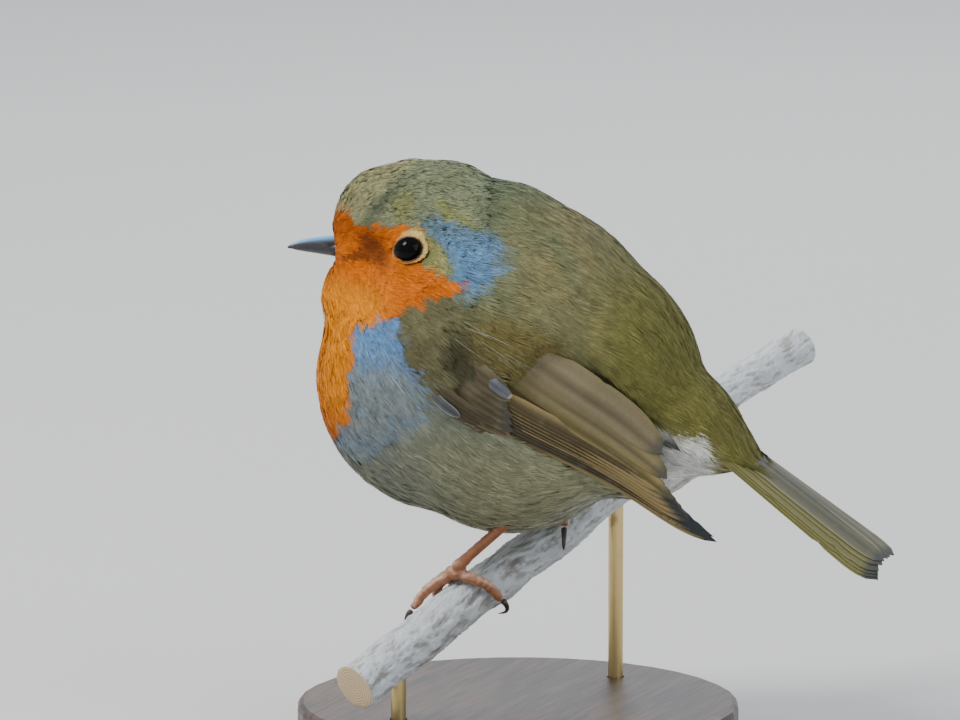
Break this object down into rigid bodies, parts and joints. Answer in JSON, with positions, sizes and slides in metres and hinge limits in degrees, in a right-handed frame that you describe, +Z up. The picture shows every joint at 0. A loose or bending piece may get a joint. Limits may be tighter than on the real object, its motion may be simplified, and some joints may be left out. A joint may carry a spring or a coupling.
{
  "type": "european robin display model",
  "caption": "Small round songbird with an orange face and breast, perched on a cut length of branch over a round display stand.",
  "frame": {"origin": "centre of the underside of the stand's base", "axes": "+Z up, the bird's trunk faces -Y, its left side is +X"},
  "size_m": [0.1232, 0.1224, 0.1167],
  "materials": {
    "orange_plumage": "soft matt feathers",
    "grey_plumage": "soft matt feathers",
    "olive_plumage": "soft matt feathers",
    "belly_plumage": "soft matt feathers",
    "wing_feathers": "satin feather vanes",
    "tail_feathers": "satin feather vanes",
    "bill_horn": "polished horn",
    "eye": "wet and glossy",
    "leg_scutes": "satin scales",
    "claw_horn": "polished horn",
    "bark": "weathered grey bark",
    "stand_base": "dark satin lacquer",
    "stand_rod": "brushed, dulled"
  },
  "bodies": {
    "root": {"back": "olive_plumage", "belly": "belly_plumage", "bill_lower": "bill_horn", "bill_upper": "bill_horn", "breast": "orange_plumage", "claw_hind_left": "claw_horn", "claw_hind_right": "claw_horn", "claw_inner_left": "claw_horn", "claw_inner_right": "claw_horn", "claw_middle_left": "claw_horn", "claw_middle_right": "claw_horn", "claw_outer_left": "claw_horn", "claw_outer_right": "claw_horn", "eye_left": "eye", "eye_right": "eye", "foot_left": "leg_scutes", "foot_right": "leg_scutes", "head": "orange_plumage", "neck": "grey_plumage", "perch": "bark", "rump": "olive_plumage", "stand_base": "stand_base", "stand_rod_front": "stand_rod", "stand_rod_rear": "stand_rod", "tail_centre": "tail_feathers", "tail_side_left": "tail_feathers", "tail_side_right": "tail_feathers", "tarsus_left": "leg_scutes", "tarsus_right": "leg_scutes", "wing_coverts_left": "wing_feathers", "wing_coverts_right": "wing_feathers", "wing_primaries_left": "wing_feathers", "wing_primaries_right": "wing_feathers", "wing_tertials_left": "wing_feathers", "wing_tertials_right": "wing_feathers"}
  },
  "joints": []
}
